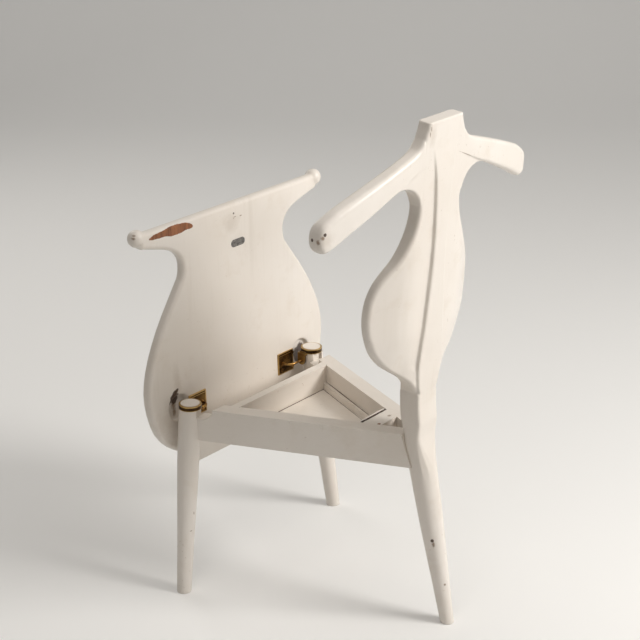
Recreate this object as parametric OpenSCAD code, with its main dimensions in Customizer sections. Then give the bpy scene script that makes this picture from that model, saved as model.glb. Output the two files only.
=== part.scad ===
// Clothes valet chair: three-legged bedroom chair with a hinged seat over a
// tray, and a carved back board that works as a jacket hanger.
// Frame: +Z up, the front faces -Y, the person's left is +X, floor at z = 0.
// The seat is drawn in its raised position, as in the photograph.

/* [Overall] */
// Height of the hanger top above the floor
height = 950; // [940:1:960]
// Smoothness of round surfaces
round_fn = 96; // [48:8:128]

/* [Frame rails] */
// Height of the top edge of the side rails
rail_top = 366.4; // [365.4:0.1:366.4]
// Depth of a rail, bottom to top
rail_h = 64; // [58:1:66]
// Thickness of a side rail
rail_t = 30; // [28:1:31]
// Half distance between the inner rail faces at the tray front
rail_in_x = 127.1; // [125:0.1:129]
// Inward slope of each side rail, run per millimetre of depth
rail_slope = 0.419; // [0.41:0.001:0.425]
// Thickness of the rail that joins the front legs
front_rail_t = 18; // [14:1:20]
// Drop of the front rail's bottom edge below the side rails
front_rail_drop = 48; // [40:1:56]

/* [Front legs] */
// Half distance between the front feet
foot_x = 227; // [222:1:232]
// Forward position of the front feet
foot_y = 186; // [184:1:190]
// Half distance between the leg tops
leg_top_x = 177; // [176.5:0.1:177.5]
// Forward position of the leg tops
leg_top_y = 203.4; // [203:0.1:204]
// Radius of a front leg at the floor
leg_foot_r = 13.8; // [12:0.1:16]
// Radius of a front leg under the collar
leg_top_r = 21; // [20:0.1:21]
// Diameter of the neck that passes through the collar
neck_d = 35.5; // [34:0.1:35.5]

/* [Rear leg and spine] */
// Backward position of the rear foot
rear_foot_y = 266; // [262:1:270]
// Radius of the rear foot
rear_foot_r = 13.2; // [12:0.1:16]
// Width of the square part of the rear leg
spine_w = 57; // [55:1:58]
// Thickness of the keel that runs up the back of the board
keel_t = 7; // [5:0.5:8]

/* [Hanger] */
// Rounding of the edges of the back board and the arms
board_round = 6; // [4:0.5:8]
// Thickness of the back board
board_t = 27; // [24:0.5:28]
// Thickness of the hanger arms towards their tips
tip_t = 29.5; // [27:0.5:32]
// Half width of the neck at the top
neck_x = 48; // [44:1:52]
// Half span of the hanger arms
arm_x = 295; // [290:1:300]
// Forward slope of the back board's wings, run per millimetre of width
wing_slope = 0.47; // [0.4:0.01:0.52]
// How much further forward the wings' lower edges reach
wing_low = 12; // [6:0.5:14]
// Thickness of the back board at the wings' edges
wing_t = 17; // [14:0.5:20]
// Half width of the back board at its widest
wing_x = 143.5; // [138:0.5:146]
// Bend radius of the hanger arms
arm_bend = 880; // [800:10:1000]

/* [Seat] */
// Thickness of the seat board
seat_t = 22; // [20:0.5:24]
// Width of the seat board
seat_w = 500; // [480:2:510]
// Length of the seat from the hinge axis to its rear edge
seat_v = 362.2; // [345:0.2:366]
// Rounding of the seat's edges
seat_round = 8; // [5:0.5:9]
// Half length of the trouser bar between the knob centres
bar_x = 246; // [240:1:250]
// Width of the trouser bar strip along the seat's rear edge
bar_w = 28.5; // [27:0.5:30]
// Radius of the ball knobs on the trouser bar
knob_r = 16.5; // [14:0.5:17.5]
// Diameter of the recesses that clear the leg tops
recess_d = 50.5; // [50:0.1:52]
// Depth of those recesses
recess_h = 9; // [8:0.5:12]

/* [Hinge] */
// Forward position of the hinge axis
hinge_y = 210; // [209.5:0.1:210.5]
// Drop of the hinge axis below the top edge of the side rails
hinge_drop = 21.4; // [21:0.1:22]
// Distance of the seat's underside from the hinge axis
seat_off = 21.7; // [21.5:0.1:22]
// Swing of the seat from closed to raised
open_angle = 92.2; // [88:0.2:96]
// Diameter of the hinge rod
rod_d = 5; // [4:0.1:5]
// Bend radius of the hinge rod
rod_bend = 16; // [12:0.5:16]
// Diameter of the pivot hole in the collar lug
pivot_d = 5.1; // [5.06:0.01:5.2]
// Thickness of the hinge plate
plate_t = 2.5; // [1.5:0.1:3]

/* [Tray] */
// Depth of the tray, from the top edge of the rails to its floor
tray_depth = 49.4; // [45:0.2:53]
// Thickness of the tray floor
tray_t = 6; // [4:0.5:8]
// Width of the cleats along the tray floor
cleat_w = 8; // [6:0.5:10]
// Height of the cleats
cleat_h = 13; // [10:0.5:16]

/* [Fixings] */
// Diameter of the wooden dowels
dowel_d = 8; // [6:1:10]
// Length of the wooden dowels
dowel_l = 36; // [30:1:40]
// Shank diameter of the brass wood screws
screw_d = 3.5; // [3:0.1:4]

/* [Hidden] */
$fn = round_fn;
// clearance of wooden dowels and screw shanks in their holes
fit = 0.05;
// floor and top of the side rails
rail_bot = rail_top - rail_h;
// height of the hinge axis and of the tray floor's top
hinge_z = rail_top - hinge_drop;
tray_z = rail_top - tray_depth;
// top edge of the front rail, and height of the side rails' front dowels over it
front_rail_top = rail_top - front_rail_drop;
side_dowel_z = front_rail_top + dowel_d / 2 + 1;
// end plane of the side rails at the front legs
rail_end_y = -188;
// inner face of the tray's front wall
tray_y0 = -124.6;
// thickness of the tray's front wall
tray_wall = 16;
// front and rear faces of the block at the back of the tray
block_y0 = 92;
block_y1 = 125;
// foot of the back board, and its height as a share of the drawn height of 500
board_z0 = 450;
board_k = (height - board_z0) / 500;
// how far the board's foot thickens forward to meet the leg's front face
foot_t = 12;
// lean of the back board and its rear plane at z = 450
lean = 3.43;
board_y = 205;
// collar: top of the neck, ring height band, ring and lug sizes
leg_top_z = rail_top + 3.9;
ring_z0 = rail_top - 5.9;
ring_z1 = leg_top_z - 1;
ring_r = neck_d / 2 + 3.5;
lug_x = leg_top_x - 24.5;
lug_t = 4;
// joint planes between the board and the arms
arm_root_x = 58;
// where the wings start to bend forward, and over what width they do
wing_x0 = 52;
wing_bend = 44;
// length over which an arm's tip rounds off
tip_round = 12;
// hinge plate in seat coordinates: |x| range and v range
plate_x0 = 105.5;
plate_x1 = 151;
plate_v = 22;
rod_x = 118;
// where the trouser bar starts, in seat coordinates (v is measured from the axis)
bar_v = seat_v - bar_w;
screw_at = [[148, 15.1], [115.5, -13.6], [148, -13.3]];

wood = "#e9e2cf";
bare = "#8a6540";
brass = "#a8864a";

function rail_in(y) = rail_in_x - rail_slope * (y - tray_y0);
function mirror_pts(p) = concat(p, [for (i = [len(p) - 1 : -1 : 0]) [-p[i][0], p[i][1]]]);

// point at parameter t on the smooth curve through the points p
function on_curve(p, t) = let (n = len(p) - 1, i = min(floor(t), n - 1), f = t - i,
  a = p[max(i - 1, 0)], b = p[i], c = p[i + 1], d = p[min(i + 2, n)])
  0.5 * (2 * b + (c - a) * f + (2 * a - 5 * b + 4 * c - d) * f * f
    + (3 * b - a - 3 * c + d) * f * f * f);
function curve(p, k) = [for (i = [0 : k * (len(p) - 1)]) on_curve(p, i / k)];

// height on the back board for a height on its drawing
function bz(z) = board_z0 + (z - board_z0) * board_k;

// closed section with rounded corners between a0..a1 across and b0..b1 in
// thickness; n points along each long side
function round_section(a0, a1, b0, b1, r, n = 5) = let (q = max(0.01, min(r, (a1 - a0) / 2.02,
  (b1 - b0) / 2.02)), arc = [0, 30, 60, 90]) concat(
  [for (i = [1 : n]) [a0 + q + (a1 - a0 - 2 * q) * i / (n + 1), b0]],
  [for (a = arc) [a1 - q + q * sin(a), b0 + q - q * cos(a)]],
  [for (a = arc) [a1 - q + q * cos(a), b1 - q + q * sin(a)]],
  [for (i = [n : -1 : 1]) [a0 + q + (a1 - a0 - 2 * q) * i / (n + 1), b1]],
  [for (a = arc) [a0 + q - q * sin(a), b1 - q + q * cos(a)]],
  [for (a = arc) [a0 + q - q * cos(a), b0 + q - q * sin(a)]]);

function middle(q) = [for (a = [0 : 2]) (max([for (p = q) p[a]]) + min([for (p = q) p[a]])) / 2];

// closed skin over a stack of sections that have equally many points
module skin(s) {
  n = len(s[0]);
  m = len(s);
  walls = [for (i = [0 : m - 2], j = [0 : n - 1]) let (k = (j + 1) % n)
    each [[i * n + j, i * n + k, i * n + n + k], [i * n + j, i * n + n + k, i * n + n + j]]];
  // each end is a fan round its own middle point
  ends = [for (j = [0 : n - 1]) let (k = (j + 1) % n)
    each [[m * n, k, j], [m * n + 1, m * n - n + j, m * n - n + k]]];
  polyhedron(points = concat([for (q = s) each q], [middle(s[0]), middle(s[m - 1])]),
    faces = [for (f = concat(walls, ends)) [f[2], f[1], f[0]]]);
}

// ---------- placing helpers ----------

// seat pieces are drawn closed, with the hinge axis at the origin
module on_seat() {
  translate([0, -hinge_y, hinge_z]) rotate([open_angle, 0, 0]) children();
}

// a front leg's turning axis, from the foot centre to the leg top
module on_front_leg(s) {
  dx = leg_top_x - foot_x;
  dy = foot_y - leg_top_y;
  run = sqrt(dx * dx + dy * dy);
  translate([s * foot_x, -foot_y, 0])
    rotate([0, 0, atan2(dy, s * dx)])
      rotate([0, atan2(run, leg_top_z), 0])
        children();
}

// the back board's own plane: x across, z up the board, rear face at y = 0
module on_board() {
  translate([0, board_y, 450]) rotate([-lean, 0, 0]) translate([0, 0, -450])
    children();
}

// everything between the two inner faces of the side rails
module between_rails(y0, y1, z0, z1) {
  translate([0, 0, z0]) linear_extrude(z1 - z0)
    polygon(mirror_pts([[rail_in(y0), y0], [rail_in(y1), y1]]));
}

// ---------- front legs and rails ----------

module leg_profile() {
  polygon([[0, -6], [leg_foot_r - 0.6, -6], [leg_foot_r, 0], [leg_foot_r + 1.1, 40],
    [leg_foot_r + 2.4, 100], [leg_foot_r + 4.2, 155], [leg_foot_r + 5.7, 205],
    [leg_top_r - 0.3, 260], [leg_top_r, 300], [leg_top_r, 380], [0, 380]]);
}

module front_leg(s) {
  color(wood) difference() {
    union() {
      intersection() {
        on_front_leg(s) rotate_extrude() leg_profile();
        translate([0, -200, ring_z0 / 2]) cube([700, 200, ring_z0], center = true);
      }
      translate([s * leg_top_x, -leg_top_y, ring_z0 - 30])
        cylinder(h = leg_top_z - ring_z0 + 30, d = neck_d);
    }
    side_rail_blank(s);
    front_rail_blank();
    side_dowel_holes(s);
    front_dowel_holes(s);
  }
}

module front_rail_blank() {
  translate([-leg_top_x - 1, rail_end_y - front_rail_t, front_rail_top - rail_h])
    cube([2 * leg_top_x + 2, front_rail_t, rail_h]);
}

module front_rail() {
  color(wood) difference() {
    front_rail_blank();
    front_dowel_holes(1);
    front_dowel_holes(-1);
  }
}

module front_dowel_at(s, d, l) {
  for (z = [front_rail_top - rail_h + 18, front_rail_top - 18])
    translate([s * (leg_top_x - 1), rail_end_y - front_rail_t / 2, z]) rotate([0, 90, 0])
      cylinder(h = l, d = d, center = true);
}

module front_dowel_holes(s) {
  front_dowel_at(s, dowel_d + 2 * fit, dowel_l - 8);
}

module front_rail_dowels() {
  color(bare) {
    front_dowel_at(1, dowel_d, dowel_l - 10);
    front_dowel_at(-1, dowel_d, dowel_l - 10);
  }
}

// plan of one side rail: parallel faces, front end square to the leg
module rail_plan() {
  y1 = 200;
  polygon([[rail_in(rail_end_y), rail_end_y], [rail_in(rail_end_y) + rail_t * 1.0843, rail_end_y],
    [rail_in(y1) + rail_t * 1.0843, y1], [rail_in(y1), y1]]);
}

module side_rail_blank(s) {
  mirror([s < 0 ? 1 : 0, 0, 0]) translate([0, 0, rail_bot]) linear_extrude(rail_h) rail_plan();
}

// hollow at the front end of a rail that clears the hinge
module rail_notch(s) {
  r = 21;
  translate([0, rail_end_y + 14, rail_top]) rotate([0, 90, 0])
    cylinder(h = 500, r = r, center = true);
  translate([-250, rail_end_y - 40, rail_top - r]) cube([500, 54, r + 1]);
}

module side_rail(s) {
  color(wood) difference() {
    intersection() {
      side_rail_blank(s);
      translate([s > 0 ? 0 : -400, -300, 0]) cube([400, 600, 600]);
    }
    rail_notch(s);
    leg_front_space();
    side_dowel_holes(s);
    rear_dowel_holes(s);
  }
}

module side_dowel_at(s, d, l) {
  translate([s * (rail_in(rail_end_y) + 19), rail_end_y, side_dowel_z]) rotate([90, 0, s * 4])
    cylinder(h = l, d = d, center = true);
}

module side_dowel_holes(s) {
  side_dowel_at(s, dowel_d + 2 * fit, dowel_l - 8);
}

module rear_dowel_at(s, d, l) {
  translate([s * 17, 186, rail_bot + 32]) rotate([90, 0, 0])
    cylinder(h = l, d = d, center = true);
}

module rear_dowel_holes(s) {
  rear_dowel_at(s, dowel_d + 2 * fit, dowel_l - 8);
}

module side_rail_dowels() {
  color(bare) for (s = [1, -1]) {
    side_dowel_at(s, dowel_d, dowel_l - 10);
    rear_dowel_at(s, dowel_d, dowel_l - 10);
  }
}

// ---------- tray ----------

module tray_front() {
  color(wood) between_rails(tray_y0 - tray_wall, tray_y0, rail_bot, rail_top);
}

module tray_floor() {
  color(bare) between_rails(tray_y0, block_y0, tray_z - tray_t, tray_z);
}

module tray_cleat(s) {
  color(wood) intersection() {
    difference() {
      between_rails(tray_y0, 82, tray_z, tray_z + cleat_h);
      translate([-s * cleat_w * 1.0843, 0, 0]) between_rails(tray_y0 - 9, 90, 0, 400);
    }
    translate([s > 0 ? 0 : -400, -300, 0]) cube([400, 600, 600]);
  }
}

module rear_block() {
  color(wood) between_rails(block_y0, block_y1, rail_bot, rail_top);
}

module rear_lath() {
  color(wood) between_rails(82, 86, tray_z, rail_top - 1.4);
}

// ---------- rear leg with the spine ----------

// the leg's upper part turns from round to square: [height, front, rear, half
// width, corner radius]
leg_stations = [[282, 181, 230.6, 24.4, 24], [292, 178.5, 229.6, 25.2, 24.6],
  [302, 177, 227.6, 25.7, 24], [316, 176, 222.6, 26.4, 21], [330, 176, 218.3, 27.3, 16.5],
  [344, 176, 214.4, 28, 12], [356, 176.4, 211.8, spine_w / 2, 8.5], [366, 176.6, 210.8, spine_w / 2, 6.5],
  [378, 173.4, 211.3, spine_w / 2, 5], [391, 170, 212.8, spine_w / 2, 5],
  [405, 168, 211.4, spine_w / 2, 5], [420, 166.8, 210, spine_w / 2, 5],
  [435, 166.2, 209.5, spine_w / 2, 5], [board_z0, 166, 209.5, spine_w / 2, 5]];

module leg_upper() {
  intersection() {
    skin([for (q = leg_stations)
      [for (p = round_section(-q[3], q[3], q[1], q[2], q[4], 2)) [p[0], p[1], q[0]]]]);
    // flat that the rails' ends meet
    translate([-60, 0, 0]) rotate([90, 0, 90]) linear_extrude(120)
      polygon([[140, 270], [140, 301.9], [194.6, 301.9], [184, 336], [176, 368], [140, 372],
        [140, 500], [260, 500], [260, 270]]);
  }
}

// space in front of the leg's face, where the rails stop
module leg_front_space() {
  translate([-60, 0, 0]) rotate([90, 0, 90]) linear_extrude(120)
    polygon([[194.6, 302], [184, 336], [177, 364], [176, 368], [230, 368], [230, 296], [196.5, 296]]);
}

// keel on the rear of the board: half width, height on the drawing, and share
// of its full thickness
keel_half = [[24.5, 450, 0.66], [30, 466, 0.68], [33.5, 490, 0.7], [34.5, 512, 0.75],
  [31.5, 550, 0.88], [27, 595, 1], [22.8, 645, 1], [19.5, 695, 1], [18.5, 746, 0.95],
  [20.5, 797, 0.87], [24, 845, 0.75], [27.5, 872, 0.5], [30.5, 892, 0.2], [33, 906, 0.04]];

// one level section of the keel: steep sides, softened where they meet its face
function keel_section(w, k, z) = [[-w, -0.4, z], [w, -0.4, z], [w - 0.05 * k, 0.55 * k, z],
  [w - 0.2 * k, 0.85 * k, z], [w - 0.6 * k, k, z], [0.6 * k - w, k, z],
  [0.2 * k - w, 0.85 * k, z], [0.05 * k - w, 0.55 * k, z]];

module keel() {
  difference() {
    skin([for (q = curve(keel_half, 2)) keel_section(q[0], keel_t * max(0.03, q[2]), bz(q[1]))]);
    translate([-100, -10, 400]) cube([200, 10, 600]);
  }
}

module rear_leg() {
  color(wood) difference() {
    union() {
      // round lower part
      intersection() {
        translate([0, rear_foot_y, 0]) rotate([12, 0, 0]) rotate_extrude()
          polygon([[0, -8], [rear_foot_r - 0.5, -8], [rear_foot_r, 10], [rear_foot_r + 1.8, 50],
            [rear_foot_r + 3.8, 92], [rear_foot_r + 6.2, 140], [rear_foot_r + 8.3, 180],
            [rear_foot_r + 9.8, 220], [rear_foot_r + 11, 255], [rear_foot_r + 12, 300],
            [rear_foot_r + 12, 330], [0, 330]]);
        translate([-100, 100, 0]) cube([200, 300, 300]);
      }
      leg_upper();
      // keel on the back of the board, down to the leg's back
      on_board() keel();
    }
    for (s = [1, -1])
      difference() {
        side_rail_blank(s);
        leg_front_space();
      }
    rear_dowel_holes(1);
    rear_dowel_holes(-1);
    spine_dowel_holes();
  }
}

// ---------- back board and hanger ----------

// forward sweep at x, round a bend of the given radius, from a flat middle of half width x0
function sweep(x, x0, bend) = abs(x) < x0 ? 0 : bend - sqrt(bend * bend - pow(abs(x) - x0, 2));
function share(t) = max(0, min(1, t));
// wings: a bend over wing_bend, then straight, and further forward near their lower edge
function wing(x) = let (u = max(0, abs(x) - wing_x0))
  wing_slope * (u < wing_bend ? u * u / (2 * wing_bend) : u - wing_bend / 2);
function board_rear(x, z) = -wing(x) - wing_low * share((570 - z) / 75) * share((abs(x) - 35) / 34);
function board_foot(x, z) = foot_t * pow(share(1 - (z - 450) / 75), 2) * share((62 - abs(x)) / 32);
function board_front(x, z) = board_rear(x, z) - board_foot(x, z) - board_t
  + (board_t - wing_t) * wing(x) / wing(wing_x);
function arm_rear(x) = -sweep(x, 100, arm_bend);
function arm_front(x) = arm_rear(x) - board_t - (tip_t - board_t) * share((x - 120) / 110);

// half width of the back board at heights on its drawing
board_half = [[spine_w / 2, 450], [33, 460], [40, 470.5], [49.5, 481], [63, 492], [79, 503],
  [98, 517.5], [117.5, 538.5], [132, 563], [wing_x - 2.8, 589], [wing_x, 615],
  [wing_x - 1.5, 638], [136, 660], [125, 680.5], [110, 697.5], [94, 715], [79.5, 737],
  [67, 761], [60, 783], [57.9, 800], [60, 820], [62, 880], [60, 910], [56.5, 924], [51, 937],
  [neck_x, 950]];

// one level section through the board: the thickness is rounded at both edges
function board_section(w, z) = [for (p = round_board(w, z)) [p[0], p[1], bz(z)]];
// where a section's points lie across it: evenly if narrow, else closer round the bend
function across(i, rear) = let (b = share((rear - 55) / 25))
  (1 - b) * rear * i / 7 + b * (i < 3 ? 26 * i : 52 + (rear - 52) * pow((i - 2) / 5, 1.6));
function round_board(w, z) = let (r = board_round, rear = w - r)
  concat([for (i = [-7 : 7]) let (x = sign(i) * across(abs(i), rear)) [x, board_front(x, z)]],
    [for (a = [30, 60, 90]) let (x = rear + r * sin(a)) [x, board_front(x, z) + r * (1 - cos(a))]],
    [for (a = [90, 60, 30]) let (x = rear + r * sin(a)) [x, board_rear(x, z) - r * (1 - cos(a))]],
    [for (i = [7 : -1 : -7]) let (x = sign(i) * across(abs(i), rear)) [x, board_rear(x, z)]],
    [for (a = [30, 60, 90]) let (x = rear + r * sin(a)) [-x, board_rear(x, z) - r * (1 - cos(a))]],
    [for (a = [90, 60, 30]) let (x = rear + r * sin(a)) [-x, board_front(x, z) + r * (1 - cos(a))]]);

module board_body() {
  skin([for (q = curve(board_half, 2)) board_section(q[0], q[1])]);
}

// top and bottom edge of an arm at distances from the middle: [x, top, bottom]
arm_edges = [[48, 946, 790], [53, 932, 797], [57, 923.5, 805], [62, 916.5, 817],
  [70, 908, 829.5], [82, 901.5, 840], [100, 895.5, 846.5], [122, 889, 846], [154, 879, 834],
  [193, 866.5, 817], [232, 853, 799.5], [256, 844, 787], [arm_x - 22, 835, 779.5],
  [arm_x - 12, 829, 778.5], [arm_x - 6, 823.5, 782.5], [arm_x - 2, 816, 790], [arm_x, 808, 798]];

// upright section across an arm at x: the edges grow rounder towards the tip
function arm_section(q) = let (x = q[0], e = max(0, x - (arm_x - tip_round)) / tip_round,
  r = board_round + 1 + 3 * max(0, min(1, (x - 180) / 80)),
  in = (1 - sqrt(max(0, 1 - e * e))) * 0.8 * r)
  [for (p = round_section(arm_front(x) + in, arm_rear(x) - in, bz(q[2]), bz(q[1]), r, 2))
    [x, p[0], p[1]]];

module arm_body(s) {
  mirror([s < 0 ? 1 : 0, 0, 0]) skin([for (q = curve(arm_edges, 2)) arm_section(q)]);
}

// fold under each arm: the rear face steps in by up to 4 mm below a line that
// starts beside the keel's top and runs out to the arm's lower edge
module arm_folds() {
  for (s = [0, 1])
    mirror([s, 0, 0]) polyhedron(
      points = [[36, 3, bz(886.5)], [60, 3, bz(803)], [132, 3, bz(845.5)], [36, 0.3, bz(886.5)],
        [60, 0.3, bz(803)], [131, -5, bz(843)]],
      faces = [[0, 1, 2], [3, 5, 4], [0, 3, 4, 1], [1, 4, 5], [1, 5, 2], [0, 2, 5], [0, 5, 3]]);
}

// space of one arm: outside the joint plane, from height z0 up
module arm_space(s, z0) {
  translate([s > 0 ? arm_root_x : -arm_root_x - 400, -150, bz(z0)]) cube([400, 300, 400]);
}

module hanger_board() {
  color(wood) difference() {
    on_board() difference() {
      board_body();
      arm_space(1, 800);
      arm_space(-1, 800);
      arm_folds();
    }
    hanger_dowel_holes();
    spine_dowel_holes();
  }
}

module hanger_arm(s) {
  color(wood) difference() {
    on_board() difference() {
      intersection() {
        arm_body(s);
        arm_space(s, 740);
      }
      arm_folds();
    }
    hanger_dowel_holes();
  }
}

module hanger_dowel_at(d, l) {
  on_board() for (s = [1, -1], z = [bz(866), bz(896)])
    translate([s * arm_root_x, -board_t / 2, z]) rotate([0, 90, 0])
      cylinder(h = l, d = d, center = true);
}

module hanger_dowel_holes() {
  hanger_dowel_at(dowel_d + 2 * fit, dowel_l + 2);
}

// two dowels that tie the board's foot to the top of the leg
module spine_dowel_at(d, l) {
  for (s = [1, -1])
    translate([s * 14, board_y - board_t / 2, board_z0]) cylinder(h = l, d = d, center = true);
}

module spine_dowel_holes() {
  spine_dowel_at(dowel_d + 2 * fit, dowel_l + 2);
}

module hanger_dowels() {
  color(bare) {
    hanger_dowel_at(dowel_d, dowel_l);
    spine_dowel_at(dowel_d, dowel_l);
  }
}

// ---------- brass collars on the leg tops ----------

module collar(s) {
  color(brass) mirror([s < 0 ? 1 : 0, 0, 0]) difference() {
    union() {
      translate([leg_top_x, -leg_top_y, ring_z0]) cylinder(h = ring_z1 - ring_z0, r = ring_r);
      // lug that hangs down beside the leg and carries the pivot
      translate([lug_x, -hinge_y - 9, hinge_z]) cube([lug_t, 18, ring_z0 - hinge_z]);
      translate([lug_x, -hinge_y, hinge_z]) rotate([0, 90, 0]) cylinder(h = lug_t, r = 9);
      translate([lug_x, -hinge_y - 3, ring_z0 - 3]) cube([lug_t + 1.6, 15, 8]);
    }
    translate([leg_top_x, -leg_top_y, ring_z0 - 1]) cylinder(h = 20, d = neck_d + 2 * fit);
    translate([lug_x - 1, -hinge_y, hinge_z]) rotate([0, 90, 0]) cylinder(h = lug_t + 2, d = pivot_d);
    // the lug's upper weld block keeps clear of the leg's shoulder
    translate([leg_top_x, -leg_top_y, 300]) cylinder(h = ring_z0 - 300, r = leg_top_r - 0.6);
  }
}

// ---------- seat ----------

// half outline of the seat with its bar, v measured from the hinge axis
seat_half = [[bar_x, bar_v], [218, bar_v - 6.7], [167, bar_v - 22.5], [144, bar_v - 46],
  [144, bar_v - 76], [159, bar_v - 99], [208, bar_v - 168], [0.484 * seat_w, 95],
  [seat_w / 2, 33], [0.46 * seat_w, -36], [0.37 * seat_w, -80], [0.25 * seat_w, -100.5],
  [0.12 * seat_w, -105]];

module seat_outline() {
  polygon(mirror_pts(concat([[bar_x, seat_v]], curve(seat_half, 3))));
}

// revolved body that rounds an edge exactly to its radius
module edge_round(r) {
  rotate_extrude($fn = 16) polygon(concat([[0, -r]],
    [for (a = [-67.5 : 22.5 : 67.5]) [r * cos(a), r * sin(a)]], [[0, r]]));
}

// seat and bar in one rounded slab, before they are parted at the glue line
module seat_slab() {
  translate([0, 0, seat_off + seat_round]) minkowski() {
    linear_extrude(seat_t - 2 * seat_round) offset(delta = -seat_round) seat_outline();
    edge_round(seat_round);
  }
}

module seat_board() {
  color(wood) on_seat() difference() {
    intersection() {
      seat_slab();
      translate([-400, -300, -100]) cube([800, 300 + bar_v, 400]);
    }
    for (s = [1, -1]) {
      translate([s * leg_top_x, 8, seat_off - 1]) cylinder(h = recess_h + 1, d = recess_d);
      for (p = screw_at)
        translate([s * p[0], p[1], seat_off - 1]) cylinder(h = 15, d = screw_d + 2 * fit);
    }
  }
}

module trouser_bar() {
  color(wood) on_seat() union() {
    intersection() {
      seat_slab();
      translate([-400, bar_v, -100]) cube([800, 200, 400]);
    }
    for (s = [1, -1])
      translate([s * bar_x, seat_v - 8, seat_off + seat_t / 2]) hull() sphere(r = knob_r, $fn = 20);
  }
}

module hinge_plate(s) {
  color(brass) on_seat() mirror([s < 0 ? 1 : 0, 0, 0]) difference() {
    translate([plate_x0, -plate_v, seat_off - plate_t])
      cube([plate_x1 - plate_x0, 2 * plate_v, plate_t]);
    for (p = screw_at)
      translate([p[0], p[1], seat_off - 10]) cylinder(h = 20, d = screw_d + 2 * fit);
  }
}

// bent rod: foot on the plate, quarter bend, then the pivot pin
module hinge_arm(s) {
  top = seat_off - plate_t;
  color(brass) on_seat() mirror([s < 0 ? 1 : 0, 0, 0]) union() {
    translate([rod_x, 0, rod_bend]) cylinder(h = top - rod_bend, d = rod_d);
    translate([rod_x, 0, top - 1.6]) cylinder(h = 1.6, d = rod_d + 3);
    translate([rod_x + rod_bend, 0, rod_bend]) rotate([90, 0, 0]) rotate([0, 0, 180])
      rotate_extrude(angle = 90) translate([rod_bend, 0]) circle(d = rod_d, $fn = 48);
    translate([rod_x + rod_bend, 0, 0]) rotate([0, 90, 0])
      cylinder(h = lug_x + lug_t + 0.3 - rod_x - rod_bend, d = rod_d);
    translate([lug_x + lug_t + 0.3, 0, 0]) rotate([0, 90, 0]) cylinder(h = 1.2, d = rod_d + 2.4);
    translate([lug_x - 1.8, 0, 0]) rotate([0, 90, 0]) cylinder(h = 1.4, d = rod_d + 2.4);
  }
}

module plate_screws(s) {
  color(brass) on_seat() mirror([s < 0 ? 1 : 0, 0, 0])
    for (p = screw_at)
      translate([p[0], p[1], seat_off - plate_t]) {
        cylinder(h = 15, d = screw_d);
        difference() {
          translate([0, 0, -1.5]) cylinder(h = 1.5, d = 7.5);
          translate([-5, -0.5, -2]) cube([10, 1, 1.1]);
        }
      }
}

front_leg(1);  // front_leg_left
front_leg(-1);  // front_leg_right
front_rail();
side_rail(1);  // side_rail_left
side_rail(-1);  // side_rail_right
tray_front();
tray_floor();
tray_cleat(1);  // tray_cleat_left
tray_cleat(-1);  // tray_cleat_right
rear_block();
rear_lath();
rear_leg();
hanger_board();
hanger_arm(1);  // hanger_arm_left
hanger_arm(-1);  // hanger_arm_right
collar(1);  // collar_left
collar(-1);  // collar_right
seat_board();
trouser_bar();
hinge_plate(1);  // hinge_plate_left
hinge_plate(-1);  // hinge_plate_right
hinge_arm(1);  // hinge_arm_left
hinge_arm(-1);  // hinge_arm_right
plate_screws(1);  // plate_screws_left
plate_screws(-1);  // plate_screws_right
front_rail_dowels();
side_rail_dowels();
hanger_dowels();
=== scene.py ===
import bpy, bmesh, math
from mathutils import Vector, Matrix


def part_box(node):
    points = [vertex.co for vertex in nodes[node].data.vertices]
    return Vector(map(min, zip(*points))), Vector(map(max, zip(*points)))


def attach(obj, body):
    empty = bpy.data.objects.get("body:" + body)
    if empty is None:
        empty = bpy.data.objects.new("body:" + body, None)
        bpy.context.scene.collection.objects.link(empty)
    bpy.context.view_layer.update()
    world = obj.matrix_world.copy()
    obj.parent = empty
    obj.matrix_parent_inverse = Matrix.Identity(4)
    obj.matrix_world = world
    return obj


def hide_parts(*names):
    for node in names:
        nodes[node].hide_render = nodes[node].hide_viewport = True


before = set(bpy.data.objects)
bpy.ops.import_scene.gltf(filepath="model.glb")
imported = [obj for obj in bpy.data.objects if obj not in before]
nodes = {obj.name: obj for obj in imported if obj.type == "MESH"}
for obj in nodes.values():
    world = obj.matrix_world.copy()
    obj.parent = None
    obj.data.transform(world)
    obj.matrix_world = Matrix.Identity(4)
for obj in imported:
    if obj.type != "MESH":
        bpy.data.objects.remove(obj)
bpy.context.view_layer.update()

# All lengths are in metres, except the millimetres that seat_point takes.

# ---------------------------------------------------------------- colours

BLACK, WHITE = (0, 0, 0, 1), (1, 1, 1, 1)
PAINT_DULL, PAINT_CLEAN = (0.790, 0.728, 0.655, 1), (0.865, 0.818, 0.762, 1)
PAINT_YELLOWED = (0.72, 0.64, 0.545, 1)
BRUSH_LINE = (0.60, 0.53, 0.43, 1)
RUBBED_STREAK = (0.50, 0.42, 0.33, 1)
FRECKLE = (0.34, 0.25, 0.16, 1)
STAIN = (0.40, 0.31, 0.22, 1)
# small dark scuffs, and also painted shade along the far arm's fold
MARK_AND_SHADE = (0.26, 0.17, 0.105, 1)
# dents worn to old dark wood, and also painted shade in the tray's joints, round the lath and in
# the recesses by the collars
GRIME_AND_SHADE = (0.060, 0.026, 0.011, 1)
WOOD_DARK, WOOD_LIGHT = (0.155, 0.050, 0.017, 1), (0.39, 0.145, 0.050, 1)
WOOD_PORE = (0.45, 0.40, 0.36, 1)
BRASS_BROWN, BRASS_OLD = (0.055, 0.030, 0.011), (0.26, 0.150, 0.046)
BRASS_SPECK = (0.045, 0.026, 0.013, 1)
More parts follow.
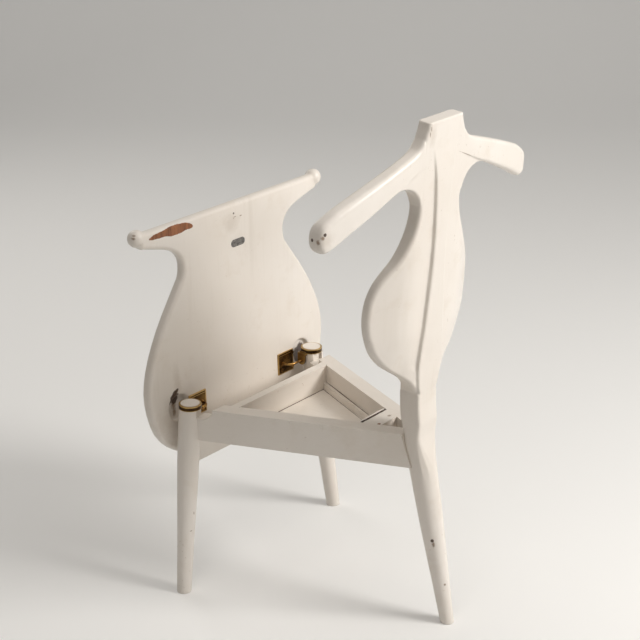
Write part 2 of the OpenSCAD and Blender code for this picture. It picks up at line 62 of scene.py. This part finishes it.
# BRASS_SHADE is painted shade on the collars' sides, and BRASS_HIGHLIGHT a painted highlight on
# their rims and on the plates' borders
BRASS_SHADE = (0.030, 0.017, 0.008, 1)
BRASS_HIGHLIGHT = (0.86, 0.60, 0.25, 1)
PLATE_DARK, PLATE_LIGHT = (0.10, 0.095, 0.09, 1), (0.30, 0.285, 0.265, 1)
FLOOR_COLOUR = (0.80, 0.795, 0.78, 1)
SKY_LIGHT, SKY_SEEN = (1.0, 0.95, 0.885, 1), (0.93, 0.93, 0.92, 1)

# ---------------------------------------------------------------- shader nodes


def new_mat(name):
    """A material with one Principled shader. Gives the material, its tree and the shader."""
    m = bpy.data.materials.new(name)
    m.use_nodes = True
    t = m.node_tree
    t.nodes.clear()
    out = t.nodes.new("ShaderNodeOutputMaterial")
    shader = t.nodes.new("ShaderNodeBsdfPrincipled")
    t.links.new(shader.outputs[0], out.inputs[0])
    return m, t, shader


def node(t, kind, **settings):
    n = t.nodes.new(kind)
    for key, value in settings.items():
        setattr(n, key, value)
    return n


def object_place(t):
    """Where the shaded point is in its piece's own space, which is the model's frame at rest."""
    return node(t, "ShaderNodeTexCoord").outputs["Object"]


def noise(t, place, scale, detail, rough, distortion=0.0):
    n = node(t, "ShaderNodeTexNoise")
    n.inputs["Scale"].default_value = scale
    n.inputs["Detail"].default_value = detail
    n.inputs["Roughness"].default_value = rough
    n.inputs["Distortion"].default_value = distortion
    t.links.new(place, n.inputs["Vector"])
    return n.outputs["Fac"]


def ramp(t, value, start, end, first=BLACK, last=WHITE):
    """The first colour up to start, the last one from end on, and a blend between them."""
    r = node(t, "ShaderNodeValToRGB")
    stops = r.color_ramp.elements
    stops[0].position, stops[0].color = start, first
    stops[1].position, stops[1].color = end, last
    t.links.new(value, r.inputs[0])
    return r.outputs[0]


def feed(t, socket, value):
    """Links a socket to another node's output, or sets it to a plain value."""
    if isinstance(value, bpy.types.NodeSocket):
        t.links.new(value, socket)
    else:
        socket.default_value = value


def mix(t, share, a, b, mode="MIX"):
    m = node(t, "ShaderNodeMix", data_type="RGBA", blend_type=mode)
    for socket, value in ((m.inputs[0], share), (m.inputs[6], a), (m.inputs[7], b)):
        feed(t, socket, value)
    return m.outputs[2]


def tinted(t, colour, mask, strength, tint):
    """The colour, with a tint of the given strength laid over it where the mask is 1."""
    return mix(t, times(t, mask, strength), colour, tint)


def maths(t, operation, *values, clamp=False):
    m = node(t, "ShaderNodeMath", operation=operation, use_clamp=clamp)
    for socket, value in zip(m.inputs, values):
        feed(t, socket, value)
    return m.outputs[0]


def plus(t, a, b):
    return maths(t, "ADD", a, b)


def minus(t, a, b):
    return maths(t, "SUBTRACT", a, b)


def times(t, a, b):
    return maths(t, "MULTIPLY", a, b)


def larger(t, a, b):
    return maths(t, "MAXIMUM", a, b)


def drawn_out(t, place, axis, across, along):
    """Coordinates for a pattern that is fine across an axis and long along it."""
    scale = [across] * 3
    scale[axis] = along
    m = node(t, "ShaderNodeMapping")
    m.inputs["Scale"].default_value = scale
    t.links.new(place, m.inputs["Vector"])
    return m.outputs[0]


def own_space(t, place, centre, turn, size):
    """Coordinates in a turned box of the given half size, where its sides are at 1 and -1."""
    m = node(t, "ShaderNodeMapping", vector_type="TEXTURE")
    m.inputs["Location"].default_value = centre
    m.inputs["Rotation"].default_value = turn
    m.inputs["Scale"].default_value = size
    t.links.new(place, m.inputs["Vector"])
    return m.outputs[0]


def separate(t, vector):
    s = node(t, "ShaderNodeSeparateXYZ")
    t.links.new(vector, s.inputs[0])
    return s.outputs


def roughen(t, shader, height, strength, distance):
    """Gives the shader a bump from a height."""
    bump = node(t, "ShaderNodeBump")
    bump.inputs["Strength"].default_value = strength
    bump.inputs["Distance"].default_value = distance
    t.links.new(height, bump.inputs["Height"])
    t.links.new(bump.outputs[0], shader.inputs["Normal"])


# ---------------------------------------------------------------- materials

X, Y, Z = 0, 1, 2


def wood_colour(t, place, axis):
    """Brown wood with its grain along an axis. Gives the colour and the grain."""
    grain = noise(t, drawn_out(t, place, axis, 38.0, 3.0), 1.0, 8.0, 0.65, 0.6)
    pores = noise(t, drawn_out(t, place, axis, 260.0, 9.0), 1.0, 3.0, 0.6)
    base = ramp(t, grain, 0.3, 0.72, WOOD_DARK, WOOD_LIGHT)
    dark = ramp(t, pores, 0.30, 0.5, WOOD_PORE, WHITE)
    return mix(t, 1.0, base, dark, "MULTIPLY"), grain


# The rim of each kind of spot: how ragged it is, where the spot begins to fade and where it is
# gone (1 is the edge of its shape), and the scale of the noise that frays it.
STAIN_RIM = (1.3, 0.25, 1.0, 60.0)
MARK_AND_SHADE_RIM = (1.2, 0.4, 1.0, 260.0)
CHIP_RIM = (0.42, 0.95, 1.0, 110.0)
GRIME_AND_SHADE_RIM = (0.9, 0.75, 1.0, 160.0)


def spot(t, place, shape, rim):
    """1 inside a spot and 0 outside. Its shape is (centre, radii, turn)."""
    centre, radii, turn = shape
    ragged, full, gone, scale = rim
    length = node(t, "ShaderNodeVectorMath", operation="LENGTH")
    t.links.new(own_space(t, place, centre, turn, radii), length.inputs[0])
    fray = minus(t, noise(t, place, scale, 5.0, 0.7), 0.5)
    reach = plus(t, length.outputs["Value"], times(t, fray, ragged))
    return ramp(t, reach, full, gone, WHITE, BLACK)


def paint_material(name, axis, chips=(), stains=(), marks_and_shade=(), grime_and_shade=(), wear=0.5, streak=0.0):
    """Worn warm-white paint over brown wood, brushed along an axis. chips are spots of bare
    wood, stains are soft grey-brown smudges, marks_and_shade are small scuffs and also painted
    shade along a fold, and grime_and_shade is dents worn down to old dark wood and also painted
    shade in joints, gaps and recesses. wear is how readily the edges chip, and streak is the
    strength of the long rubbed streaks."""
    m, t, shader = new_mat(name)
    place = object_place(t)
    patches = noise(t, place, 3.6, 3.0, 0.5)
    mottle = noise(t, place, 19.0, 5.0, 0.6)
    brush = noise(t, drawn_out(t, place, axis, 140.0, 6.0), 1.0, 3.0, 0.55)
    rubbed = noise(t, drawn_out(t, place, axis, 34.0, 2.2), 1.0, 5.0, 0.6, 0.4)
    dots = ramp(t, noise(t, place, 150.0, 2.0, 0.5), 0.68, 0.76)
    dotted = ramp(t, noise(t, place, 6.0, 2.0, 0.5), 0.50, 0.62)

    colour = mix(t, ramp(t, patches, 0.30, 0.72), PAINT_DULL, PAINT_CLEAN)
    colour = tinted(t, colour, ramp(t, mottle, 0.55, 0.85), 0.6, PAINT_YELLOWED)
    colour = tinted(t, colour, ramp(t, brush, 0.55, 0.80), 0.10, BRUSH_LINE)
    colour = tinted(t, colour, ramp(t, rubbed, 0.60, 0.78), streak, RUBBED_STREAK)
    colour = tinted(t, colour, times(t, dots, dotted), 0.30, FRECKLE)
    for shape in stains:
        colour = tinted(t, colour, spot(t, place, shape, STAIN_RIM), 0.24, STAIN)
    # small scuffs, and painted shade along a fold
    for shape in marks_and_shade:
        colour = tinted(t, colour, spot(t, place, shape, MARK_AND_SHADE_RIM), 0.85, MARK_AND_SHADE)

    # bare wood: a few tiny chips, most of them on edges and corners, and the chips given
    wood, grain = wood_colour(t, place, axis)
    sharp = minus(t, node(t, "ShaderNodeNewGeometry").outputs["Pointiness"], 0.53)
    sharp = maths(t, "MULTIPLY", sharp, 6.0, clamp=True)
    weak = plus(t, noise(t, place, 42.0, 6.0, 0.72, 0.3), times(t, sharp, 0.30 * wear))
    bare = ramp(t, weak, 0.815, 0.822)
    for shape in chips:
        bare = larger(t, bare, spot(t, place, shape, CHIP_RIM))
    colour = mix(t, bare, colour, wood)
    # dents worn to dark wood, and painted shade in joints, gaps and recesses
    for shape in grime_and_shade:
        colour = tinted(t, colour, spot(t, place, shape, GRIME_AND_SHADE_RIM), 0.94, GRIME_AND_SHADE)
    t.links.new(colour, shader.inputs["Base Color"])

    rough = plus(t, plus(t, 0.30, times(t, mottle, 0.20)), times(t, bare, 0.25))
    t.links.new(rough, shader.inputs["Roughness"])
    shader.inputs["Coat Weight"].default_value = 0.18
    shader.inputs["Coat Roughness"].default_value = 0.16
    height = plus(t, times(t, brush, 0.22), times(t, mottle, 0.55))
    height = plus(t, height, times(t, bare, -1.6))
    height = plus(t, height, times(t, grain, 0.12))
    roughen(t, shader, height, 0.35, 0.0006)
    return m


def bare_wood_material():
    m, t, shader = new_mat("bare_brown_wood")
    colour, grain = wood_colour(t, object_place(t), X)
    t.links.new(colour, shader.inputs["Base Color"])
    shader.inputs["Roughness"].default_value = 0.6
    roughen(t, shader, grain, 0.3, 0.0005)
    return m


def ring_shade_and_highlight(t, colour, height, band):
    """Paints shade on the side of a brass ring between two heights. Gives the colour, and where
    the ring gets a painted highlight: above that band, and on a narrow line below it."""
    low, high = band
    foot_line = 0.0016

    def above(a, b, start, end):
        """Rises from 0 to 1 as height a gets from start to end, in millimetres, above b."""
        return ramp(t, times(t, minus(t, a, b), 1000), start, end)

    # painted shade on the ring's side, then painted highlights on its top and on a line at its
    # foot
    side = times(t, above(height, low, 0.0, 0.7), above(high, height, 0.0, 0.7))
    colour = tinted(t, colour, side, 0.8, BRASS_SHADE)
    top = above(height, high, 0.1, 0.6)
    foot = times(t, above(low, height, 0.1, 0.6), above(height, low - foot_line, 0.0, 0.3))
    return colour, times(t, larger(t, top, foot), 0.6)


def rim_highlight(t, place, uneven, rim):
    """1 along the border of a flat plate, given as (centre, turn, half size), where it gets a
    painted highlight.
    """
    centre, turn, half = rim
    x, y, _ = separate(t, own_space(t, place, centre, turn, half))
    out = larger(t, maths(t, "ABSOLUTE", x), maths(t, "ABSOLUTE", y))
    # halved, so that the plate's edge is at 0.5 and a ramp can also end past it
    out = times(t, plus(t, out, times(t, uneven, 0.10)), 0.5)
    return times(t, ramp(t, out, 0.435, 0.475), ramp(t, out, 0.53, 0.55, WHITE, BLACK))


def brass_material(name, gain=1.0, band=None, rims=()):
    """Old brass, in patches of brown and dull gold. gain brightens its browns. band and rims,
    which go together, are the band of a ring's side that gets painted shade between painted
    highlights, and the plates whose borders get a painted highlight."""
    m, t, shader = new_mat(name)
    place = object_place(t)
    patches = noise(t, place, 62.0, 5.0, 0.62, 0.4)
    specks = noise(t, place, 320.0, 3.0, 0.6)
    brown, old = ((*(gain * c for c in tone), 1) for tone in (BRASS_BROWN, BRASS_OLD))
    colour = mix(t, ramp(t, patches, 0.40, 0.66), brown, old)
    colour = tinted(t, colour, ramp(t, specks, 0.50, 0.70), 0.6, BRASS_SPECK)
    if band:
        uneven = minus(t, patches, 0.5)
        height = plus(t, separate(t, place)[Z], times(t, uneven, 0.0012))
        colour, bright = ring_shade_and_highlight(t, colour, height, band)
        # painted highlights on the plates' borders, then all the painted highlights laid on
        for rim in rims:
            bright = larger(t, bright, times(t, rim_highlight(t, place, uneven, rim), 0.75))
        colour = tinted(t, colour, bright, 0.9, BRASS_HIGHLIGHT)
    t.links.new(colour, shader.inputs["Base Color"])
    shader.inputs["Metallic"].default_value = 1.0
    t.links.new(plus(t, 0.16, times(t, patches, 0.34)), shader.inputs["Roughness"])
    roughen(t, shader, plus(t, patches, times(t, specks, 0.35)), 0.45, 0.0006)
    return m


def plate_material():
    m, t, shader = new_mat("dull_grey_metal")
    patches = noise(t, object_place(t), 260.0, 5.0, 0.65)
    colour = mix(t, ramp(t, patches, 0.35, 0.65), PLATE_DARK, PLATE_LIGHT)
    t.links.new(colour, shader.inputs["Base Color"])
    shader.inputs["Metallic"].default_value = 0.9
    t.links.new(plus(t, 0.35, times(t, patches, 0.3)), shader.inputs["Roughness"])
    roughen(t, shader, patches, 0.3, 0.0002)
    return m


# ---------------------------------------------------------------- places of wear

SEAT_RAISED = math.radians(92.2)   # how far the seat is turned up in the photograph
HINGE_Y, HINGE_Z = -210, 345       # the seat's turning line
UNDERSIDE = 21.7                   # from that line to the seat's underside


def seat_point(x, v, w=UNDERSIDE):
    """World point, in metres, of a place on the raised seat given in its own millimetres: v
    is measured from the hinge along the seat, and w square to it."""
    c, s = math.cos(SEAT_RAISED), math.sin(SEAT_RAISED)
    return (x / 1000, (HINGE_Y + v * c - w * s) / 1000, (HINGE_Z + v * s + w * c) / 1000)


# every spot is (centre, radii, turn)
FLAT = (0, 0, 0)
BACK_GRIME = [((0.2950, 0.1873, 0.8042), (0.004, 0.0026, 0.0034), FLAT),    # near arm's end
              ((0.2863, 0.2065, 0.8143), (0.0028, 0.005, 0.0034), FLAT),
              ((0.0183, 0.2408, 0.1673), (0.0020, 0.006, 0.0034), FLAT)]    # rear leg
BACK_MARKS_AND_SHADE = [((0.2894, 0.2046, 0.8091), (0.0034, 0.006, 0.0040), FLAT),    # near arm's end
              ((0.2943, 0.1985, 0.8022), (0.0050, 0.004, 0.0052), FLAT),
              ((0.0444, 0.2343, 0.9386), (0.0014, 0.006, 0.0052), FLAT),    # head's near edge
              ((0.0469, 0.2337, 0.9297), (0.0013, 0.006, 0.0056), FLAT),
              ((0.0176, 0.2430, 0.1600), (0.0022, 0.006, 0.0068), FLAT),    # rear leg
              ((0.0075, 0.2638, 0.0802), (0.0024, 0.006, 0.0030), FLAT),
              ((-0.0650, 0.2296, 0.8722), (0.0310, 0.0040, 0.0008),         # painted shade along the far arm's fold
               (0, -0.417, 0.03))]
BACK_STAINS = [((0.284, 0.200, 0.802), (0.022, 0.03, 0.020), FLAT),
               ((0.040, 0.232, 0.928), (0.014, 0.03, 0.026), FLAT)]
# the long bare patch on the trouser bar
SEAT_CHIPS = [(seat_point(186, 350.4), (0.0400, 0.012, 0.0060), (0, 0.02, 0)),
              (seat_point(157, 349.9), (0.0380, 0.012, 0.0096), (0, -0.03, 0)),
              (seat_point(130, 350.2), (0.0190, 0.012, 0.0062), (0, -0.30, 0))]
SEAT_GRIME_AND_SHADE = [(seat_point(1.4, 342), (0.0022, 0.004, 0.0020), FLAT),
              # the crescent of painted shade, over worn dark wood, at the recess's edge beside
              # the near collar
              ((0.1810, -0.2345, 0.3868), (0.0066, 0.008, 0.0042), (0, 0.5, 0)),
              ((0.1872, -0.2345, 0.3825), (0.0088, 0.008, 0.0064), (0, 0.8, 0)),
              ((0.1930, -0.2345, 0.3760), (0.0090, 0.008, 0.0066), (0, 0.95, 0)),
              ((0.1965, -0.2350, 0.3680), (0.0076, 0.008, 0.0054), (0, 1.2, 0)),
              ((0.1834, -0.2330, 0.3776), (0.0080, 0.006, 0.0080), FLAT),
              ((0.1800, -0.2415, 0.3670), (0.0110, 0.007, 0.0085), (0, 0.9, 0)),
              # painted shade in the recess behind the far collar
              ((-0.1750, -0.2412, 0.3400), (0.0110, 0.006, 0.0190), (0, 0.2, 0)),
              ((-0.1850, -0.2412, 0.3550), (0.0100, 0.006, 0.0120), FLAT)]
SEAT_MARKS = [(seat_point(-1, 334.5), (0.0060, 0.004, 0.0010), FLAT),       # under the bar
              (seat_point(2, 332), (0.0016, 0.004, 0.0014), FLAT),
              (seat_point(-18, 333), (0.0050, 0.004, 0.0016), FLAT),
              ((0.2600, -0.2492, 0.7027), (0.0040, 0.006, 0.0030), FLAT),   # near knob
              ((0.2575, -0.2492, 0.7075), (0.0036, 0.006, 0.0022), FLAT),
              ((0.1830, -0.2412, 0.3560), (0.0075, 0.008, 0.0090), FLAT),   # near recess
              ((0.1815, -0.2408, 0.3430), (0.0060, 0.008, 0.0110), FLAT),
              (seat_point(250, 347, 30), (0.0050, 0.012, 0.0040), FLAT),    # both knobs
              (seat_point(-242, 366, 34), (0.0060, 0.006, 0.0026), FLAT)]
SEAT_STAINS = [(seat_point(196, -6), (0.050, 0.03, 0.040), FLAT),
               (seat_point(10, 326), (0.030, 0.03, 0.022), FLAT),
               (seat_point(178, 60), (0.012, 0.03, 0.040), (0, 0.1, 0))]
LEG_MARKS = [((0.2048, -0.1754, 0.1606), (0.0014, 0.020, 0.0045), FLAT),
             ((0.2144, -0.1760, 0.1263), (0.0034, 0.020, 0.0012), FLAT)]
BLOCK_CHIPS = [((0.0227, 0.1192, 0.366), (0.004, 0.003, 0.004), FLAT)]
BLOCK_MARKS = [((-0.018, 0.112, 0.366), (0.006, 0.004, 0.004), FLAT)]

# painted shade along the joint lines inside the tray: along the front wall, along the two
# cleats, which run at an angle to the middle of the chair, and up the wall's corners
FRONT_SEAM_SHADE = ((0.0, -0.1246, 0.3172), (0.180, 0.0009, 0.0009), FLAT)
# a soft darkening along the foot of the tray's front wall
FRONT_FOOT_DARKENING = ((0.0, -0.124, 0.318), (0.10, 0.02, 0.006), FLAT)
CLEAT_TURN = math.radians(66.4)
SEAM_SHADE = [FRONT_SEAM_SHADE]
for way in (1, -1):
    for x, y, z, thick in ((0.0922, -0.0438, 0.330, 0.0012), (0.0842, -0.0467, 0.317, 0.0007)):
        SEAM_SHADE.append(((way * x, y, z), (0.110, thick, thick), (0, 0, -way * CLEAT_TURN)))
    SEAM_SHADE.append(((way * 0.1283, -0.1246, 0.3420), (0.0012, 0.0012, 0.038), FLAT))
# and painted shade in the gaps round the lath in front of the rear block
LATH_GAP_SHADE = [((0.0, 0.0915, 0.3420), (0.120, 0.0026, 0.034), FLAT),
             ((0.0, 0.0864, 0.3420), (0.120, 0.0012, 0.034), FLAT)]

PAINT_BACK = paint_material("white_paint_back", Z, stains=BACK_STAINS, marks_and_shade=BACK_MARKS_AND_SHADE,
                            grime_and_shade=BACK_GRIME, streak=0.04)
PAINT_SEAT = paint_material("white_paint_seat", Z, chips=SEAT_CHIPS, stains=SEAT_STAINS,
                            marks_and_shade=SEAT_MARKS, grime_and_shade=SEAT_GRIME_AND_SHADE, streak=0.16)
PAINT_UPRIGHT = paint_material("white_paint_upright", Z)
# the cross pieces, side rails and tray get painted shade along the tray's joints, and the block
# gets it round its lath
PAINT_CROSS = paint_material("white_paint_cross", X, stains=[FRONT_FOOT_DARKENING], grime_and_shade=[FRONT_SEAM_SHADE])
PAINT_BLOCK = paint_material("white_paint_block", X, chips=BLOCK_CHIPS, marks_and_shade=BLOCK_MARKS,
                             grime_and_shade=LATH_GAP_SHADE)
PAINT_SIDE = paint_material("white_paint_side", Y, grime_and_shade=SEAM_SHADE, wear=0.25, streak=0.10)
PAINT_TRAY = paint_material("white_paint_tray", Y, grime_and_shade=SEAM_SHADE, wear=0.2, streak=0.06)
PAINT_LEG = paint_material("white_paint_legs", Z, marks_and_shade=LEG_MARKS, wear=0.3, streak=0.08)
BARE_WOOD = bare_wood_material()

# the hinge plates lie on the seat's underside and get a painted highlight on their borders, and
# the collars get painted shade on their sides between painted highlights
PLATE_X, PLATE_LEVEL, PLATE_HALF = 0.12825, 20.4, (0.02275, 0.022, 0.01)
PLATE_HIGHLIGHT_RIMS = [((way * PLATE_X, *seat_point(0, 0, PLATE_LEVEL)[1:]), (SEAT_RAISED, 0, 0),
               PLATE_HALF) for way in (1, -1)]
collar_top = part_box("collar_left")[1][Z]
AGED_BRASS_WITH_PAINTED_LIGHT = brass_material("aged_brass_with_painted_light", rims=PLATE_HIGHLIGHT_RIMS,
                            band=(collar_top - 0.0075, collar_top - 0.0018))
# a lighter copy of the same brass, its extra lightness a painted highlight on the screws and
# hinge arms
BRASS_PAINTED_HIGHLIGHT = brass_material("brass_with_painted_highlight", gain=2.6)


# ---------------------------------------------------------------- CAD pieces


def dress(obj, mat):
    obj.data.materials.clear()
    obj.data.materials.append(mat)


def soften(obj, width, segments=3):
    """Rounds an object's sharp edges."""
    bevel = obj.modifiers.new("edge", "BEVEL")
    bevel.width = width
    bevel.segments = segments
    bevel.limit_method = "ANGLE"
    bevel.angle_limit = math.radians(32)
    bevel.use_clamp_overlap = True
    bevel.harden_normals = False


def finish_of(name):
    """The material of a CAD node, by its name."""
    # screws and hinge arms: brass lightened as a painted highlight
    if name.startswith(("plate_screws", "hinge_arm")):
        return BRASS_PAINTED_HIGHLIGHT
    if name.startswith(("collar", "hinge")):
        return AGED_BRASS_WITH_PAINTED_LIGHT
    if name.endswith("dowels"):
        return BARE_WOOD
    if name.startswith("side_rail"):
        return PAINT_SIDE
    if name.startswith(("front_leg", "rear_leg")):
        return PAINT_LEG
    if name in ("rear_block", "rear_lath"):
        return PAINT_BLOCK
    if name in ("front_rail", "tray_front", "trouser_bar"):
        return PAINT_CROSS
    if name.startswith("tray"):
        return PAINT_TRAY
    return PAINT_UPRIGHT


for name, o in nodes.items():
    dress(o, finish_of(name))

# ---------------------------------------------------------------- carved wood


def join(name, sources, mat):
    """A new object with a copy of the solids of one or more pieces."""
    bm = bmesh.new()
    for s in sources:
        bm.from_mesh(nodes[s].data)
    me = bpy.data.meshes.new(name)
    bm.to_mesh(me)
    bm.free()
    o = bpy.data.objects.new(name, me)
    bpy.context.scene.collection.objects.link(o)
    dress(o, mat)
    return o


def smooth(o, rounds, group=""):
    sm = o.modifiers.new("soft", "SMOOTH")
    sm.factor = 0.5
    sm.iterations = rounds
    sm.vertex_group = group


def broad_faces(o, low=2.5, high=6.0, rings=3):
    """Weights each vertex by how flat the surface is round it, within a number of rings of
    neighbours: 1 where it bends by less than low degrees, on the broad faces, and 0 where it
    bends by more than high, near an edge, a groove or a rim."""
    me = o.data
    normals = [v.normal.copy() for v in me.vertices]
    pairs = [tuple(e.vertices) for e in me.edges]
    bend = [0.0] * len(normals)
    for a, b in pairs:
        k = 1 - normals[a].dot(normals[b])
        bend[a] = max(bend[a], k)
        bend[b] = max(bend[b], k)
    for _ in range(rings):
        wide = list(bend)
        for a, b in pairs:
            wide[a] = max(wide[a], bend[b])
            wide[b] = max(wide[b], bend[a])
        bend = wide
    group = o.vertex_groups.new(name="broad")
    for i, k in enumerate(bend):
        angle = math.degrees(math.acos(max(-1.0, 1 - k)))
        weight = min(1.0, (high - angle) / (high - low))
        if weight > 0:
            group.add([i], weight, "REPLACE")


def carved(name, sources, body, mat, voxel, rounds, calm, kept=0.5):
    """One smooth carved surface made from the solids of one or more pieces. All of it gets
    rounds of smoothing, its broad faces get calm more, and kept is the share of its faces that
    stays at the end."""
    o = join(name, sources, mat)
    skin = o.modifiers.new("skin", "REMESH")
    skin.mode = "VOXEL"
    skin.voxel_size = voxel
    skin.adaptivity = 0.0
    skin.use_smooth_shade = True
    smooth(o, rounds)
    view = bpy.context.evaluated_depsgraph_get()
    baked = bpy.data.meshes.new_from_object(o.evaluated_get(view), depsgraph=view)
    o.modifiers.clear()
    o.data = baked
    broad_faces(o)
    smooth(o, calm, "broad")
    o.modifiers.new("light", "DECIMATE").ratio = kept
    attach(o, body)
    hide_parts(*sources)


carved("carved_back", ["hanger_board", "hanger_arm_left", "hanger_arm_right", "rear_leg"],
       "frame", PAINT_BACK, voxel=0.0016, rounds=3, calm=100)
carved("carved_seat", ["seat_board", "trouser_bar"],
       "seat", PAINT_SEAT, voxel=0.002, rounds=5, calm=60)

# softly worn edges on the sawn and turned pieces, and finer ones on the brass
for width, names in (
        (0.0022, ("front_rail", "side_rail_left", "side_rail_right")),
        (0.0016, ("front_leg_left", "front_leg_right")),
        (0.0012, ("tray_front", "rear_block", "tray_cleat_left", "tray_cleat_right")),
        (0.0008, ("rear_lath",))):
    for name in names:
        soften(nodes[name], width)
for name, o in nodes.items():
    if name.startswith(("collar", "hinge", "plate_screws")):
        soften(o, 0.0005, 2)

# ---------------------------------------------------------------- small plate


def blank_plate():
    """Thin blank metal plate with round ends and a raised rim, pinned under the seat."""
    half_length, half_height, steps = 0.0190, 0.0072, 12
    # (share of the half height, level) from the back edge over the rim to the face
    profile = ((1.0, -0.0004), (1.0, 0.0006), (0.96, 0.0010), (0.88, 0.0010), (0.84, 0.0006))
    pin_x, pin_radius, pin_level = 0.0142, 0.0013, 0.0006
    seat_x, seat_v = -6.5, 283.7

    outline = []
    for way in (1, -1):
        for k in range(steps + 1):
            a = math.radians(-90 + 180 * k / steps)
            outline.append((way * (half_length - half_height + half_height * math.cos(a)),
                            way * half_height * math.sin(a)))
    bm = bmesh.new()
    rings = []
    for share, level in profile:
        inset = half_height * (1 - share)
        ring = []
        for x, v in outline:
            d = math.hypot(x, v)
            ring.append(bm.verts.new((x - x / d * inset, v - v / d * inset, level)))
        rings.append(ring)
    for a, b in zip(rings, rings[1:]):
        for i in range(len(a)):
            j = (i + 1) % len(a)
            bm.faces.new((a[i], a[j], b[j], b[i]))
    bm.faces.new(rings[-1])
    bm.faces.new(list(reversed(rings[0])))
    for way in (1, -1):
        bmesh.ops.create_uvsphere(bm, u_segments=12, v_segments=8, radius=pin_radius,
                                  matrix=Matrix.Translation((way * pin_x, 0, pin_level)))
    bmesh.ops.recalc_face_normals(bm, faces=bm.faces)

    middle = Vector(seat_point(seat_x, seat_v))
    up = Vector(seat_point(seat_x, seat_v + 1)) - middle
    out = Vector(seat_point(seat_x, seat_v, UNDERSIDE - 1)) - middle
    place = Matrix((Vector((-1, 0, 0)), up.normalized(), out.normalized()))
    place = place.transposed().to_4x4()
    place.translation = middle
    bm.transform(place)
    me = bpy.data.meshes.new("blank_plate")
    bm.to_mesh(me)
    bm.free()
    for p in me.polygons:
        p.use_smooth = len(p.vertices) <= 4
    o = bpy.data.objects.new("blank_plate", me)
    bpy.context.scene.collection.objects.link(o)
    dress(o, plate_material())
    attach(o, "seat")


blank_plate()

# ---------------------------------------------------------------- stage

VIEW_TURN, VIEW_DOWN = math.radians(129.2), math.radians(21.69)
look = Vector((-math.sin(VIEW_TURN), math.cos(VIEW_TURN), 0))
across = Vector((look.y, -look.x, 0))


def camera_light(t):
    """1 for rays that show the background, in the camera, in metal and in glass."""
    path = node(t, "ShaderNodeLightPath").outputs
    seen = larger(t, path["Is Camera Ray"], path["Is Glossy Ray"])
    return larger(t, seen, path["Is Transmission Ray"])


def make_floor():
    """A plain floor that bends up into a backdrop behind the chair."""
    reach, bend_from, bend, top, steps, drop = 30.0, 3.4, 1.6, 5.0, 10, 0.0005
    profile = [(-reach, 0.0)]
    for k in range(steps + 1):
        a = math.radians(90 * k / steps)
        profile.append((bend_from + bend * math.sin(a), bend - bend * math.cos(a)))
    profile.append((bend_from + bend, top))
    bm = bmesh.new()
    rows = []
    for r, z in profile:
        rows.append([bm.verts.new(look * r + across * w + Vector((0, 0, z - drop)))
                     for w in (-reach, reach)])
    for p, q in zip(rows, rows[1:]):
        bm.faces.new((p[0], p[1], q[1], q[0]))
    me = bpy.data.meshes.new("floor")
    bm.to_mesh(me)
    bm.free()
    for p in me.polygons:
        p.use_smooth = True
    o = bpy.data.objects.new("floor", me)
    bpy.context.scene.collection.objects.link(o)
    m, t, shader = new_mat("floor_grey")
    shader.inputs["Base Color"].default_value = FLOOR_COLOUR
    shader.inputs["Roughness"].default_value = 0.75
    # it looks paler than the light that it gives
    shader.inputs["Emission Color"].default_value = FLOOR_COLOUR
    t.links.new(times(t, camera_light(t), 0.16), shader.inputs["Emission Strength"])
    dress(o, m)


make_floor()

# ---------------------------------------------------------------- light

# name: place, what it faces, diameter, watts, colour
LAMPS = {
    "key": ((-1.1, 2.5, 2.1), (0, 0, 0.6), 1.3, 77, (1.0, 0.975, 0.945)),
    "fill": ((1.5, 0.5, 2.2), (0.1, 0.1, 0.8), 0.9, 4.5, (1.0, 0.93, 0.87)),
    "top": ((-0.3, 0.5, 3.2), (0, 0, 0.4), 2.2, 16, (1.0, 0.965, 0.91)),
    "front": ((-0.6, -2.6, 2.0), (0, 0, 0.5), 1.6, 13, (1.0, 0.97, 0.93)),
}
for name, (where, at, size, power, colour) in LAMPS.items():
    lamp = bpy.data.lights.new(name, "AREA")
    lamp.shape = "DISK"
    lamp.size = size
    lamp.energy = power
    lamp.color = colour
    o = bpy.data.objects.new(name, lamp)
    o.location = where
    o.rotation_euler = (Vector(at) - Vector(where)).to_track_quat("-Z", "Y").to_euler()
    o.visible_camera = False
    bpy.context.scene.collection.objects.link(o)

# the world looks paler than the light that it gives, too
world = bpy.data.worlds.new("world")
world.use_nodes = True
t = world.node_tree
sky = t.nodes["Background"]
t.links.new(mix(t, camera_light(t), SKY_LIGHT, SKY_SEEN), sky.inputs["Color"])
t.links.new(plus(t, 0.20, times(t, camera_light(t), 0.30)), sky.inputs["Strength"])
bpy.context.scene.world = world

# ---------------------------------------------------------------- camera

FRAME_PIXELS, FOCAL_PIXELS, SENSOR_MM = 640, 1655.17, 36
cam = bpy.data.cameras.new("camera")
cam.sensor_width = SENSOR_MM
cam.lens = FOCAL_PIXELS / FRAME_PIXELS * SENSOR_MM
cam.shift_x = 1.0 / FRAME_PIXELS
cam.clip_start = 0.05
cam.clip_end = 50
camera = bpy.data.objects.new("camera", cam)
camera.location = (2.1918, 1.74828, 1.64686)
aim = look * math.cos(VIEW_DOWN) - Vector((0, 0, math.sin(VIEW_DOWN)))
camera.rotation_euler = aim.to_track_quat("-Z", "Y").to_euler()
bpy.context.scene.collection.objects.link(camera)
bpy.context.scene.camera = camera
bpy.context.scene.view_settings.view_transform = "Standard"
